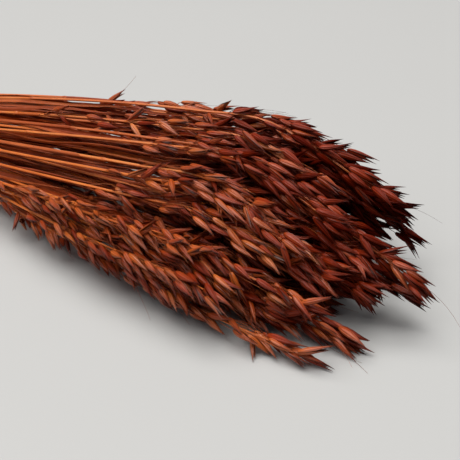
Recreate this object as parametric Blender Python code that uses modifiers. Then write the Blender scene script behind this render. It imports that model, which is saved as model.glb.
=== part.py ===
"""A bundle of dried, dyed oats lying on its side: cut stalks held by a twine tie.

Metres, +Z up. The bundle lies along X with its cut ends at -X and its heads at +X. The origin is
the middle of its footprint, on the surface that it rests on. Until the last step X is measured
from the cut ends.
"""

import math
import random

import bmesh
import bpy
import numpy as np
from mathutils import Matrix, Vector

SEED = 41

# The whole bundle. Widths and heights are of the stalks' axes, without the spikelets.
BUNDLE_LENGTH = 0.632
TIE_X = 0.095
WIDEST_X = 0.578
HEADS_HALF_WIDTH = 0.0841
HEADS_HALF_HEIGHT = 0.0446
WIDTH_SLOWNESS = 0.97
HEIGHT_SLOWNESS = 0.83
CUT_FLARE = 0.15
LOWEST_ROW = 0.0065
LOW_SPREAD = 0.78
TWIST = math.radians(50)

# The heads lie lower at both sides by the sag, and slope down to the -Y side by the tilt.
SIDE_SAG = 0.186
SIDE_TILT = 0.229

# The heads bend down to the surface towards their tips.
DROOP_START_X = 0.503
DROOP_SHARE = 0.74
DROOP_POWER = 0.80

# The tips gather into three tails. Across is a share of the half-width, and end is where the longest
# stalk's spikelet ends. A power below 1 leaves few stalks near that end.
TAILS = (
    {"across": 0.60, "end": 0.622, "spread": 0.095, "power": 1.0},
    {"across": -0.07, "end": 0.675, "spread": 0.120, "power": 0.35},
    {"across": -0.59, "end": 0.620, "spread": 0.095, "power": 1.0},
)
TAIL_START_X = 0.504
TAIL_PULL = 0.42
SHORTER_INSIDE_TAIL = 0.115
SHORTER_OUTSIDE_TAIL = 0.063

# One stalk: a culm, then a panicle of spikelets on a thinner axis.
CULM_RADIUS = 0.00125
NECK_RADIUS = 0.00100
TIP_RADIUS = 0.00055
PANICLE_LENGTH = (0.105, 0.305)
EARLIEST_NECK = 0.295
SHORTER_ABOVE = -0.5
SHORTER_ON_TOP = 0.20
CUT_SPREAD = 0.010
TIP_SPIKELET = 0.022
HEAD_WANDER = 0.22

# One spikelet: pointed at both ends and slightly flattened.
SPIKELET_LENGTH = (0.0232, 0.0266)
SPIKELET_WIDTH = 0.0050
SPIKELET_THICKNESS = 0.0036
SPIKELET_WIDEST = 0.46
SPIKELET_ROOT = 0.0010
END_SPIKELET_ROOT = 0.0040

# How a stalk's spikelets sit on it.
SPIKELETS_PER_STALK = 11
SPIKELET_TRIES = 26
SPIKELET_LEAN = (math.radians(20), math.radians(34))
LEAN_LOST_WHEN_CROWDED = 0.4
SPIKELET_TURN = 0.15
FIRST_SPIKELET = 0.35

# Closest packing of the stalks in the tie, in pitches from the middle one.
TIE_PITCH = 0.00286
TIE_ROWS = 5
TIE_REACH_IN_PITCHES = 3.61

# How the stalks keep clear of each other, at stations along X that they all share.
CLEARANCE = 0.00035
LOOSE_GAP = 0.0013
PANICLE_ROOM = 0.0042
PANICLE_ROOM_FROM_NECK = 0.020
STATION_STEP = 0.054
SETTLE_ROUNDS = 240
SMOOTHING_ROUNDS = 180
SMOOTHING = 0.15
PUSH = 0.3
STEM_BEAD_STEP = 0.0015
SPIKELET_BEADS = 9
ROOT_BEADS = 2

# The tie: turns of twine drawn tight. The stalks run straight through it, this far each way.
TIE_TURNS = 3
TWINE_DIAMETER = 0.0024
TIE_SIDES = 20
TIE_STRAIGHT = TIE_TURNS * TWINE_DIAMETER
GROOVE_SHARE = 0.55
CROWN_SHARE = 0.50

# Colour and roughness.
DYED_STRAW = ((0.42, 0.135, 0.045), 0.55)
TWINE = ((0.55, 0.42, 0.26), 0.9)


def clear_scene():
    for obj in list(bpy.data.objects):
        bpy.data.objects.remove(obj)


def make_material(name, colour, roughness):
    material = bpy.data.materials.new(name)
    material.use_nodes = True
    shader = material.node_tree.nodes["Principled BSDF"]
    shader.inputs["Base Color"].default_value = (*colour, 1)
    shader.inputs["Roughness"].default_value = roughness
    shader.inputs["Metallic"].default_value = 0
    return material


def smooth(t):
    """A gentle step from 0 to 1."""
    t = min(max(t, 0.0), 1.0)
    return t * t * (3 - 2 * t)


def tie_places():
    """Places of the stalks in the tie, as shares of the outermost one's distance, and that distance."""
    found = []
    for row in range(-TIE_ROWS, TIE_ROWS + 1):
        for column in range(-TIE_ROWS, TIE_ROWS + 1):
            y = column + 0.5 * (row % 2)
            z = row * math.sqrt(3) / 2
            if math.hypot(y, z) < TIE_REACH_IN_PITCHES:
                found.append((y, z))
    reach = max(math.hypot(y, z) for y, z in found)
    return [(y / reach, z / reach) for y, z in sorted(found)], reach * TIE_PITCH


def fan(x, slowness):
    """How far the stalks have spread at x: 0 in the tie, 1 at the widest place."""
    to_cut_end = max(TIE_X - TIE_STRAIGHT - x, 0)
    to_heads = max(x - TIE_X - TIE_STRAIGHT, 0) / (WIDEST_X - TIE_X - TIE_STRAIGHT)
    return CUT_FLARE * to_cut_end + math.sin(math.pi / 2 * min(to_heads, 1)) ** slowness


def droop(x):
    """The share of its height that the bundle keeps at x."""
    to_tips = max(x - DROOP_START_X, 0) / (BUNDLE_LENGTH - DROOP_START_X)
    return 1 - DROOP_SHARE * to_tips**DROOP_POWER


def section(x, tie_radius):
    """Half-width and half-height of the bundle at x."""
    half_width = tie_radius + (HEADS_HALF_WIDTH - tie_radius) * fan(x, WIDTH_SLOWNESS)
    half_height = tie_radius + (HEADS_HALF_HEIGHT - tie_radius) * fan(x, HEIGHT_SLOWNESS)
    return half_width, half_height * droop(x)


def tie_floor():
    """Height of the lowest stalk's axis in the tie, above the surface."""
    return CULM_RADIUS + CLEARANCE + TWINE_DIAMETER


class Stalk:
    """One stalk: its place in the tie and among the heads, and where along X its parts begin and end."""

    def __init__(self, number, across, up, dice):
        self.name = f"oat_stalk_{number:02d}"
        self.across, self.up = across, up
        self.head_across = across + dice.uniform(-HEAD_WANDER, HEAD_WANDER)
        self.head_up = up + dice.uniform(-HEAD_WANDER, HEAD_WANDER)
        self.start = dice.uniform(0, CUT_SPREAD)
        self.tail = min(TAILS, key=lambda tail: abs(tail["across"] - self.head_across))
        inside = abs(self.head_across) < abs(self.tail["across"])
        shorter = SHORTER_INSIDE_TAIL if inside else SHORTER_OUTSIDE_TAIL
        longest = self.tail["end"] - TIP_SPIKELET - shorter * abs(self.head_across - self.tail["across"])
        self.end = longest - self.tail["spread"] * dice.random() ** self.tail["power"]
        panicle_share = 1 - SHORTER_ON_TOP * max(self.head_up - SHORTER_ABOVE, 0)
        self.neck = max(self.end - dice.uniform(*PANICLE_LENGTH) * panicle_share, EARLIEST_NECK)

    def radius(self, x):
        if x < self.neck:
            t = (x - self.start) / (self.neck - self.start)
            return CULM_RADIUS + (NECK_RADIUS - CULM_RADIUS) * smooth(t)
        t = (x - self.neck) / (self.end - self.neck)
        return NECK_RADIUS + (TIP_RADIUS - NECK_RADIUS) * min(t, 1)

    def aim(self, x, tie_radius):
        """Where the stalk would lie at x, as y and z, if no other were in its way."""
        spread = min(fan(x, WIDTH_SLOWNESS), 1)
        across = self.across + (self.head_across - self.across) * spread
        up = self.up + (self.head_up - self.up) * spread
        turn = TWIST * (1 - spread)
        y = across * math.cos(turn) - up * math.sin(turn)
        z = across * math.sin(turn) + up * math.cos(turn)
        reach = max(math.hypot(y, z), 1)
        y, z = y / reach, z / reach
        gather = TAIL_PULL * smooth((x - TAIL_START_X) / (BUNDLE_LENGTH - TAIL_START_X))
        y += (self.tail["across"] - y) * gather
        sagged = 1 - spread * (SIDE_SAG * y**2 - SIDE_TILT * y)
        y /= math.sqrt(1 - LOW_SPREAD * spread * min(z, 0) ** 2)
        half_width, half_height = section(x, tie_radius)
        lowest = tie_floor() + (LOWEST_ROW - tie_floor()) * spread
        return y * half_width, lowest + half_height * (1 + z) * sagged

    def room(self, x):
        """Half the distance that this stalk keeps from others at x."""
        loose = LOOSE_GAP * min(fan(x, WIDTH_SLOWNESS) * 3, 1)
        panicle = PANICLE_ROOM * smooth((x - self.neck) / PANICLE_ROOM_FROM_NECK)
        return max(self.radius(x) + CLEARANCE / 2 + loose / 2, panicle)


def shared_stations():
    """Places along X where the stalks' tubes have their rings."""
    after_tie = TIE_X + TIE_STRAIGHT
    count = math.ceil((BUNDLE_LENGTH - after_tie) / STATION_STEP)
    return np.array([0, TIE_X - TIE_STRAIGHT, *(after_tie + STATION_STEP * n for n in range(count + 1))])


def push_apart(places, rooms):
    """A step for each stalk away from those that are too close to it, at each place along X."""
    gap = places[:, None] - places[None, :]
    distance = np.sqrt((gap**2).sum(axis=3))
    needed = rooms[:, None, :] + rooms[None, :, :]
    others = ~np.eye(len(places), dtype=bool)[:, :, None]
    short = np.where(others, np.maximum(needed - distance, 0), 0)
    return (gap / np.maximum(distance, 1e-6)[..., None] * short[..., None]).sum(axis=1) * PUSH


def settle(stalks, stations, tie_radius):
    """Pushes the stalks clear of each other and of the surface, keeping each one a smooth curve.

    Returns the places at the stations, as an array of stalk, station and (y, z).
    """
    aim = np.array([[stalk.aim(x, tie_radius) for x in stations] for stalk in stalks])
    rooms = np.array([[stalk.room(x) for x in stations] for stalk in stalks])
    middle_rooms = (rooms[:, :-1] + rooms[:, 1:]) / 2
    loose = (stations > TIE_X + TIE_STRAIGHT + CLEARANCE)[None, :, None]
    place = aim.copy()
    for turn in range(SETTLE_ROUNDS):
        if turn < SMOOTHING_ROUNDS:
            shift = place - aim
            bend = shift[:, :-2] + shift[:, 2:] - 2 * shift[:, 1:-1]
            place[:, 1:-1] += SMOOTHING * bend * loose[:, 1:-1]
        middle_push = push_apart((place[:, :-1] + place[:, 1:]) / 2, middle_rooms)
        step = push_apart(place, rooms)
        step[:, :-1] += middle_push
        step[:, 1:] += middle_push
        place += step * loose
        place[:, :, 1] = np.maximum(place[:, :, 1], rooms)
    return place


def axis_points(stalk, stations, place):
    """Ring places of the stalk's tube: its two ends, and the shared stations between them."""
    last = stalk.end - STATION_STEP / 5
    between = [x for x in stations if stalk.start < x - CLEARANCE and x < last]
    along = [stalk.start, *between, stalk.end]
    across = np.interp(along, stations, place[:, 0])
    up = np.interp(along, stations, place[:, 1])
    return [Vector(point) for point in zip(along, across, up)]


def point_at(points, x):
    """The point at x on the line through the points, and the direction of the line there."""
    after = next((n for n, point in enumerate(points) if point.x > x), len(points) - 1)
    step = points[after] - points[after - 1]
    return points[after - 1] + step * ((x - points[after - 1].x) / step.x), step.normalized()


def stalk_tube(stalk, points):
    """The culm and the panicle's axis as one tapered, closed tube."""
    curve = bpy.data.curves.new(stalk.name, "CURVE")
    curve.dimensions = "3D"
    curve.bevel_depth = 1.0
    curve.bevel_resolution = 0
    curve.use_fill_caps = True
    spline = curve.splines.new("POLY")
    spline.points.add(len(points) - 1)
    for control, point in zip(spline.points, points):
        control.co = (*point, 1)
        control.radius = stalk.radius(point.x)
    guide = bpy.data.objects.new(stalk.name, curve)
    bpy.context.scene.collection.objects.link(guide)
    graph = bpy.context.evaluated_depsgraph_get()
    mesh = bpy.data.meshes.new_from_object(guide.evaluated_get(graph))
    bpy.data.objects.remove(guide)
    shape = bmesh.new()
    shape.from_mesh(mesh)
    bmesh.ops.remove_doubles(shape, verts=shape.verts, dist=1e-6)
    bmesh.ops.recalc_face_normals(shape, faces=shape.faces)
    shape.to_mesh(mesh)
    shape.free()
    return mesh


def stem_beads(stalk, points):
    """Balls along a stalk's tube, close enough together to stand for it: their centres and radii."""
    centres = [
        start.lerp(end, share)
        for start, end in zip(points, points[1:])
        for share in np.arange(0, 1, STEM_BEAD_STEP / (end - start).length)
    ]
    return np.array(centres), np.array([stalk.radius(centre.x) for centre in centres])


def spikelet_beads(root, tip):
    """Balls along a spikelet that hold its whole body: their centres and radii."""
    shares = np.linspace(0.08, 1, SPIKELET_BEADS)
    centres = np.outer(1 - shares, root) + np.outer(shares, tip)
    taper = np.minimum(shares / SPIKELET_WIDEST, (1 - shares) / (1 - SPIKELET_WIDEST))
    return centres, np.maximum(SPIKELET_WIDTH / 2 * taper, TIP_RADIUS)


def beads_touch(beads, others):
    """Whether any of the balls come closer than the clearance to any of the others."""
    centres, radii = beads
    other_centres, other_radii = others
    distance = np.linalg.norm(centres[:, None] - other_centres[None, :], axis=2)
    return bool((distance < radii[:, None] + other_radii[None, :] + CLEARANCE).any())


def all_beads(groups):
    """Several groups of balls as one."""
    return np.concatenate([group[0] for group in groups]), np.concatenate([group[1] for group in groups])


def side_spikelet(root, along, first_turn, own, others, dice):
    """The tip and turn of a spikelet that leans out of the stalk's axis, clear of all others, or None."""
    side = along.cross(Vector((0, 0, 1))).normalized()
    lift = side.cross(along)
    for attempt in range(SPIKELET_TRIES):
        turn = first_turn + attempt * math.pi / 2 + dice.uniform(-SPIKELET_TURN, SPIKELET_TURN)
        lean = dice.uniform(*SPIKELET_LEAN) * (1 - LEAN_LOST_WHEN_CROWDED * attempt / SPIKELET_TRIES)
        outward = side * math.cos(turn) + lift * math.sin(turn)
        aim = along * math.cos(lean) + outward * math.sin(lean)
        tip = root + aim * (dice.uniform(*SPIKELET_LENGTH) - SPIKELET_ROOT)
        tip.z = max(tip.z, 0)
        centres, radii = spikelet_beads(root, tip)
        clear_of_root = (centres[ROOT_BEADS:], radii[ROOT_BEADS:])
        if own and beads_touch(clear_of_root, all_beads(own)):
            continue
        if not beads_touch((centres, radii), others):
            own.append(clear_of_root)
            return tip, turn
    return None


def end_spikelet(root, ahead, others, dice):
    """The tip of the spikelet that ends the stalk, bent clear of all others, or None."""
    for attempt in range(SPIKELET_TRIES):
        sideways = Vector((0, dice.uniform(-1, 1), dice.uniform(-1, 1))) * attempt / SPIKELET_TRIES
        tip = root + (ahead + sideways).normalized() * SPIKELET_LENGTH[0]
        tip.z = max(tip.z, 0)
        if not beads_touch(spikelet_beads(root, tip), others):
            return tip
    return None


def place_spikelets(stalk, points, others, dice):
    """Roots, tips and turns of the stalk's spikelets: in turn on its four sides, and one at its end."""
    found, own = [], []
    for number in range(SPIKELETS_PER_STALK):
        share = (number + FIRST_SPIKELET) / (SPIKELETS_PER_STALK + FIRST_SPIKELET)
        root, along = point_at(points, stalk.neck + (stalk.end - stalk.neck) * share)
        first_turn = (number * 3 + 0.5) * math.pi / 2
        spikelet = side_spikelet(root, along, first_turn, own, others, dice)
        if spikelet:
            tip, turn = spikelet
            found.append((root + (root - tip).normalized() * SPIKELET_ROOT, tip, turn))
    root, ahead = point_at(points, stalk.end)
    tip = end_spikelet(root, ahead, others, dice)
    if tip:
        found.append((root - ahead * END_SPIKELET_ROOT, tip, 0))
    return found


def spikelet_mesh(name, root, tip, turn):
    """One spikelet, pressed flat where it meets the surface."""
    shape = bmesh.new()
    bmesh.ops.create_uvsphere(shape, u_segments=3, v_segments=2, radius=1)
    length = (tip - root).length
    for corner in shape.verts:
        share = 0 if corner.co.z < -0.5 else 1 if corner.co.z > 0.5 else SPIKELET_WIDEST
        corner.co.x *= SPIKELET_WIDTH / 2
        corner.co.y *= SPIKELET_THICKNESS / 2
        corner.co.z = share * length
    aimed = (tip - root).to_track_quat("Z", "Y").to_matrix().to_4x4()
    place = Matrix.Translation(root) @ aimed @ Matrix.Rotation(turn, 4, "Z")
    bmesh.ops.transform(shape, matrix=place, verts=shape.verts)
    for corner in shape.verts:
        corner.co.z = max(corner.co.z, 0)
    mesh = bpy.data.meshes.new(name)
    shape.to_mesh(mesh)
    shape.free()
    return mesh


def keep_largest_piece(mesh):
    """Drops the loose scraps and sealed hollows that joining can leave."""
    shape = bmesh.new()
    shape.from_mesh(mesh)
    left = set(shape.verts)
    pieces = []
    while left:
        piece, edge = set(), {left.pop()}
        while edge:
            piece |= edge
            edge = {link.other_vert(corner) for corner in edge for link in corner.link_edges} - piece
        left -= piece
        pieces.append(piece)
    largest = max(pieces, key=len)
    bmesh.ops.delete(shape, geom=[corner for corner in shape.verts if corner not in largest], context="VERTS")
    shape.to_mesh(mesh)
    shape.free()


def build_stalk(stalk, points, spikelets, material, collection):
    """One stalk with its spikelets, joined into one body."""
    body = bpy.data.objects.new(stalk.name, stalk_tube(stalk, points))
    collection.objects.link(body)
    loose = bpy.data.collections.new(stalk.name + "_spikelets")
    bpy.context.scene.collection.children.link(loose)
    for number, (root, tip, turn) in enumerate(spikelets):
        name = f"{stalk.name}_spikelet_{number:02d}"
        loose.objects.link(bpy.data.objects.new(name, spikelet_mesh(name, root, tip, turn)))
    join = body.modifiers.new("spikelets", "BOOLEAN")
    join.operation = "UNION"
    join.operand_type = "COLLECTION"
    join.collection = loose
    join.solver = "EXACT"
    graph = bpy.context.evaluated_depsgraph_get()
    joined = bpy.data.meshes.new_from_object(body.evaluated_get(graph))
    body.modifiers.clear()
    body.data = joined
    for obj in list(loose.objects):
        bpy.data.objects.remove(obj)
    bpy.data.collections.remove(loose)
    keep_largest_piece(joined)
    joined.materials.clear()
    joined.materials.append(material)
    return body


def twine_profile(inner):
    """Outline of the wound twine at +X, as radius and height: down its outer side, then up its bore."""
    half = TIE_TURNS * TWINE_DIAMETER / 2
    groove = inner + TWINE_DIAMETER * GROOVE_SHARE
    outer = inner + TWINE_DIAMETER
    beside_crown = TWINE_DIAMETER * (1 - CROWN_SHARE) / 2
    outline = []
    for turn in range(TIE_TURNS):
        top = half - turn * TWINE_DIAMETER
        bottom = top - TWINE_DIAMETER
        outline += [(groove, top), (outer, top - beside_crown), (outer, bottom + beside_crown)]
    return [*outline, (groove, -half), (inner, -half), (inner, half)]


def build_tie(tie_radius, material, collection):
    """Turns of twine round the stalks, as one turned ring with a groove between turns.

    One facet of the ring lies flat on the surface.
    """
    to_corner = 1 / math.cos(math.pi / TIE_SIDES)
    profile = twine_profile(tie_radius + CULM_RADIUS + CLEARANCE)
    corners = [(radius * to_corner, 0, height) for radius, height in profile]
    sides = [(n, (n + 1) % len(corners)) for n in range(len(corners))]
    mesh = bpy.data.meshes.new("twine_tie")
    mesh.from_pydata(corners, sides, [])
    mesh.materials.append(material)
    tie = bpy.data.objects.new("twine_tie", mesh)
    collection.objects.link(tie)
    turned = tie.modifiers.new("turned", "SCREW")
    turned.axis = "Z"
    turned.steps = TIE_SIDES
    turned.render_steps = TIE_SIDES
    turned.use_merge_vertices = True
    turned.merge_threshold = 0.00001
    half_facet = Matrix.Rotation(math.pi / TIE_SIDES, 4, "Z")
    lying = Matrix.Rotation(math.pi / 2, 4, "Y")
    tie.matrix_world = Matrix.Translation((TIE_X, 0, tie_floor() + tie_radius)) @ lying @ half_facet
    return tie


def centre_on_origin(objects):
    """Moves the whole bundle so that the origin is under the middle of its box."""
    bpy.context.view_layer.update()
    corners = np.array([obj.matrix_world @ Vector(corner) for obj in objects for corner in obj.bound_box])
    middle = (corners.min(axis=0) + corners.max(axis=0)) / 2
    for obj in objects:
        obj.location -= Vector((middle[0], middle[1], 0))


def main():
    clear_scene()
    dice = random.Random(SEED)
    straw = make_material("dyed_straw", *DYED_STRAW)
    twine = make_material("twine", *TWINE)
    collection = bpy.data.collections.new("dried_oats_bundle")
    bpy.context.scene.collection.children.link(collection)
    places, tie_radius = tie_places()
    stalks = [Stalk(n + 1, across, up, dice) for n, (across, up) in enumerate(places)]
    stations = shared_stations()
    settled = settle(stalks, stations, tie_radius)
    axes = [axis_points(stalk, stations, place) for stalk, place in zip(stalks, settled)]
    taken = [stem_beads(stalk, points) for stalk, points in zip(stalks, axes)]
    objects = []
    for index, (stalk, points) in enumerate(zip(stalks, axes)):
        others = all_beads(taken[:index] + taken[index + 1 :])
        spikelets = place_spikelets(stalk, points, others, dice)
        taken[index] = all_beads([taken[index], *(spikelet_beads(root, tip) for root, tip, _ in spikelets)])
        objects.append(build_stalk(stalk, points, spikelets, straw, collection))
    objects.append(build_tie(tie_radius, twine, collection))
    centre_on_origin(objects)


main()
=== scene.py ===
import math
import random

import bpy
import numpy as np
from mathutils import Matrix, Vector


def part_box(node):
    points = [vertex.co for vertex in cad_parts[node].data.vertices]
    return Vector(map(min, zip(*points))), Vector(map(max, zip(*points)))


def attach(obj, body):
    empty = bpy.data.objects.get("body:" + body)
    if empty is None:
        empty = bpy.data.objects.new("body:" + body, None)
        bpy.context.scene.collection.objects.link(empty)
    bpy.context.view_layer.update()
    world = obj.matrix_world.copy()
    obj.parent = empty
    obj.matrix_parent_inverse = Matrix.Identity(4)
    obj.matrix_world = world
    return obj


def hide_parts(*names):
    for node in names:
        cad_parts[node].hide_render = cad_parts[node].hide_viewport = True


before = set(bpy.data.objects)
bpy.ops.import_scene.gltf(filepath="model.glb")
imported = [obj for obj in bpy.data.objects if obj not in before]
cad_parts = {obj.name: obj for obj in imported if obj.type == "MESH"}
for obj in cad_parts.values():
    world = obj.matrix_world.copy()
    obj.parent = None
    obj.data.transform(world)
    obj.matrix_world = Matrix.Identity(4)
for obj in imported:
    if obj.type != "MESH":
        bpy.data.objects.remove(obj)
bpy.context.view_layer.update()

print("frame loaded:", len(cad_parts), "nodes")

# Where the stalks run: the values that the solids were made from. Metres, X from the cut ends.
bundle = {
    "seed": 41,
    "detailSeed": 7,
    "length": 0.632,
    "tieX": 0.095,
    "widestX": 0.578,
    "headsHalfWidth": 0.0841,
    "headsHalfHeight": 0.0446,
    "widthSlowness": 0.97,
    "heightSlowness": 0.83,
    "cutFlare": 0.15,
    "lowestRow": 0.0065,
    "lowSpread": 0.78,
    "sag": 0.186,
    "tilt": 0.229,
    "twist": math.radians(50),
    "droopStartX": 0.503,
    "droopShare": 0.74,
    "droopPower": 0.80,
    "tails": (
        {"across": 0.60, "end": 0.622, "spread": 0.095, "power": 1.0},
        {"across": -0.07, "end": 0.675, "spread": 0.120, "power": 0.35},
        {"across": -0.59, "end": 0.620, "spread": 0.095, "power": 1.0},
    ),
    "tailStartX": 0.504,
    "tailPull": 0.42,
    "shorterInsideTail": 0.115,
    "shorterOutsideTail": 0.063,
    "culmRadius": 0.00125,
    "neckRadius": 0.00100,
    "tipRadius": 0.00055,
    "panicleLength": (0.105, 0.305),
    "earliestNeck": 0.295,
    "shorterAbove": -0.5,
    "shorterOnTop": 0.20,
    "cutSpread": 0.010,
    "tipSpikelet": 0.022,
    "headWander": 0.22,
    "tiePitch": 0.00286,
    "tieRows": 5,
    "tieReachInPitches": 3.61,
    "clearance": 0.00035,
    "looseGap": 0.0013,
    "looseSoon": 3,
    "panicleRoom": 0.0042,
    "panicleRoomFromNeck": 0.020,
    "stationStep": 0.054,
    "settleRounds": 240,
    "smoothingRounds": 180,
    "smoothing": 0.15,
    "push": 0.3,
}

# The tie: turns of twine drawn tight, and its knot on top.
tie = {
    "turns": 3,
    "diameter": 0.0024,
    "strands": 3,
    "strandRadius": 0.00068,
    "strandOffset": 0.00058,
    "strandSides": 6,
    "strandGrain": 0.006,
    "twistLength": 0.0062,
    "ringsATurn": 90,
    "knotTurn": math.radians(62),
    "knotHalfLength": 0.0043,
    "knotHalfWidth": 0.0018,
    "knotLift": 0.0012,
    "knotRise": 0.0016,
    "knotRings": 34,
    "knotUpward": (0.2, -0.9, 0.3),
    "tailUpward": (0, 0.3, 1),
    "tailLengths": (0.030, 0.022),
    "tailLift": (0.0020, 0.0060, 0.0030, 0.0004),
    "tailAside": (0, 0.002, 0.007, 0.006),
    "tailStart": 0.006,
    "tailBendAt": 0.6,
    "tailRings": 36,
}
tieStraight = tie["turns"] * tie["diameter"]


def smooth(t):
    t = np.clip(t, 0, 1)
    return t * t * (3 - 2 * t)


def tiePlaces():
    found = []
    for row in range(-bundle["tieRows"], bundle["tieRows"] + 1):
        for column in range(-bundle["tieRows"], bundle["tieRows"] + 1):
            y = column + 0.5 * (row % 2)
            z = row * math.sqrt(3) / 2
            if math.hypot(y, z) < bundle["tieReachInPitches"]:
                found.append((y, z))
    reach = max(math.hypot(y, z) for y, z in found)
    return [(y / reach, z / reach) for y, z in sorted(found)], reach * bundle["tiePitch"]


def fan(x, slowness):
    # 0 in the tie, 1 at the widest place, a little above 0 at the cut ends
    afterTie = bundle["tieX"] + tieStraight
    toCutEnd = max(bundle["tieX"] - tieStraight - x, 0)
    toHeads = max(x - afterTie, 0) / (bundle["widestX"] - afterTie)
    return bundle["cutFlare"] * toCutEnd + math.sin(math.pi / 2 * min(toHeads, 1)) ** slowness


def droop(x):
    toTips = max(x - bundle["droopStartX"], 0) / (bundle["length"] - bundle["droopStartX"])
    return 1 - bundle["droopShare"] * toTips ** bundle["droopPower"]


def section(x, tieRadius):
    halfWidth = tieRadius + (bundle["headsHalfWidth"] - tieRadius) * fan(x, bundle["widthSlowness"])
    halfHeight = tieRadius + (bundle["headsHalfHeight"] - tieRadius) * fan(x, bundle["heightSlowness"])
    return halfWidth, halfHeight * droop(x)


def tieFloor():
    return bundle["culmRadius"] + bundle["clearance"] + tie["diameter"]


class Stalk:
    def __init__(self, number, across, up, dice):
        self.name = f"oat_stalk_{number:02d}"
        self.across, self.up = across, up
        self.headAcross = across + dice.uniform(-bundle["headWander"], bundle["headWander"])
        self.headUp = up + dice.uniform(-bundle["headWander"], bundle["headWander"])
        self.outermost = min(math.hypot(self.headAcross, self.headUp), 1)
        self.start = dice.uniform(0, bundle["cutSpread"])
        self.tail = min(bundle["tails"], key=lambda tail: abs(tail["across"] - self.headAcross))
        inside = abs(self.headAcross) < abs(self.tail["across"])
        shorter = bundle["shorterInsideTail"] if inside else bundle["shorterOutsideTail"]
        shorter = bundle["tipSpikelet"] + shorter * abs(self.headAcross - self.tail["across"])
        self.end = self.tail["end"] - shorter - self.tail["spread"] * dice.random() ** self.tail["power"]
        panicleShare = 1 - bundle["shorterOnTop"] * max(self.headUp - bundle["shorterAbove"], 0)
        panicleLength = dice.uniform(*bundle["panicleLength"]) * panicleShare
        self.neck = max(self.end - panicleLength, bundle["earliestNeck"])

    def radius(self, x):
        if x < self.neck:
            t = (x - self.start) / (self.neck - self.start)
            return bundle["culmRadius"] + (bundle["neckRadius"] - bundle["culmRadius"]) * smooth(t)
        t = (x - self.neck) / (self.end - self.neck)
        return bundle["neckRadius"] + (bundle["tipRadius"] - bundle["neckRadius"]) * min(t, 1)

    def aim(self, x, tieRadius):
        spread = min(fan(x, bundle["widthSlowness"]), 1)
        across = self.across + (self.headAcross - self.across) * spread
        up = self.up + (self.headUp - self.up) * spread
        turn = bundle["twist"] * (1 - spread)
        y = across * math.cos(turn) - up * math.sin(turn)
        z = across * math.sin(turn) + up * math.cos(turn)
        reach = max(math.hypot(y, z), 1)
        y, z = y / reach, z / reach
        tailShare = (x - bundle["tailStartX"]) / (bundle["length"] - bundle["tailStartX"])
        y += (self.tail["across"] - y) * bundle["tailPull"] * smooth(tailShare)
        sagged = 1 - spread * (bundle["sag"] * y**2 - bundle["tilt"] * y)
        y /= math.sqrt(1 - bundle["lowSpread"] * spread * min(z, 0) ** 2)
        halfWidth, halfHeight = section(x, tieRadius)
        lowest = tieFloor() + (bundle["lowestRow"] - tieFloor()) * spread
        return y * halfWidth, lowest + halfHeight * (1 + z) * sagged

    def room(self, x):
        loose = bundle["looseGap"] * min(fan(x, bundle["widthSlowness"]) * bundle["looseSoon"], 1)
        panicle = bundle["panicleRoom"] * smooth((x - self.neck) / bundle["panicleRoomFromNeck"])
        return max(self.radius(x) + bundle["clearance"] / 2 + loose / 2, panicle)


def sharedStations():
    afterTie = bundle["tieX"] + tieStraight
    count = math.ceil((bundle["length"] - afterTie) / bundle["stationStep"])
    later = (afterTie + bundle["stationStep"] * n for n in range(count + 1))
    return np.array([0, bundle["tieX"] - tieStraight, *later])


def pushApart(places, rooms):
    gap = places[:, None] - places[None, :]
    distance = np.sqrt((gap**2).sum(axis=3))
    needed = rooms[:, None, :] + rooms[None, :, :]
    others = ~np.eye(len(places), dtype=bool)[:, :, None]
    short = np.where(others, np.maximum(needed - distance, 0), 0)
    return (gap / np.maximum(distance, 1e-6)[..., None] * short[..., None]).sum(axis=1) * bundle["push"]


def settle(stalks, stations, tieRadius):
    # the stalks press each other apart, as they do in the solids
    aim = np.array([[stalk.aim(x, tieRadius) for x in stations] for stalk in stalks])
    rooms = np.array([[stalk.room(x) for x in stations] for stalk in stalks])
    middleRooms = (rooms[:, :-1] + rooms[:, 1:]) / 2
    loose = (stations > bundle["tieX"] + tieStraight + bundle["clearance"])[None, :, None]
    place = aim.copy()
    for turn in range(bundle["settleRounds"]):
        if turn < bundle["smoothingRounds"]:
            shift = place - aim
            bend = shift[:, :-2] + shift[:, 2:] - 2 * shift[:, 1:-1]
            place[:, 1:-1] += bundle["smoothing"] * bend * loose[:, 1:-1]
        middlePush = pushApart((place[:, :-1] + place[:, 1:]) / 2, middleRooms)
        step = pushApart(place, rooms)
        step[:, :-1] += middlePush
        step[:, 1:] += middlePush
        place += step * loose
        place[:, :, 1] = np.maximum(place[:, :, 1], rooms)
    return place


def axisPoints(stalk, stations, place):
    # no bend point lies close before the tip
    last = stalk.end - bundle["stationStep"] / 5
    between = [x for x in stations if stalk.start < x - bundle["clearance"] and x < last]
    along = np.array([stalk.start, *between, stalk.end])
    across = np.interp(along, stations, place[:, 0])
    up = np.interp(along, stations, place[:, 1])
    return np.column_stack([along, across, up])


def unit(vectors):
    vectors = np.asarray(vectors, float)
    return vectors / np.maximum(np.linalg.norm(vectors, axis=-1, keepdims=True), 1e-9)


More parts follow.
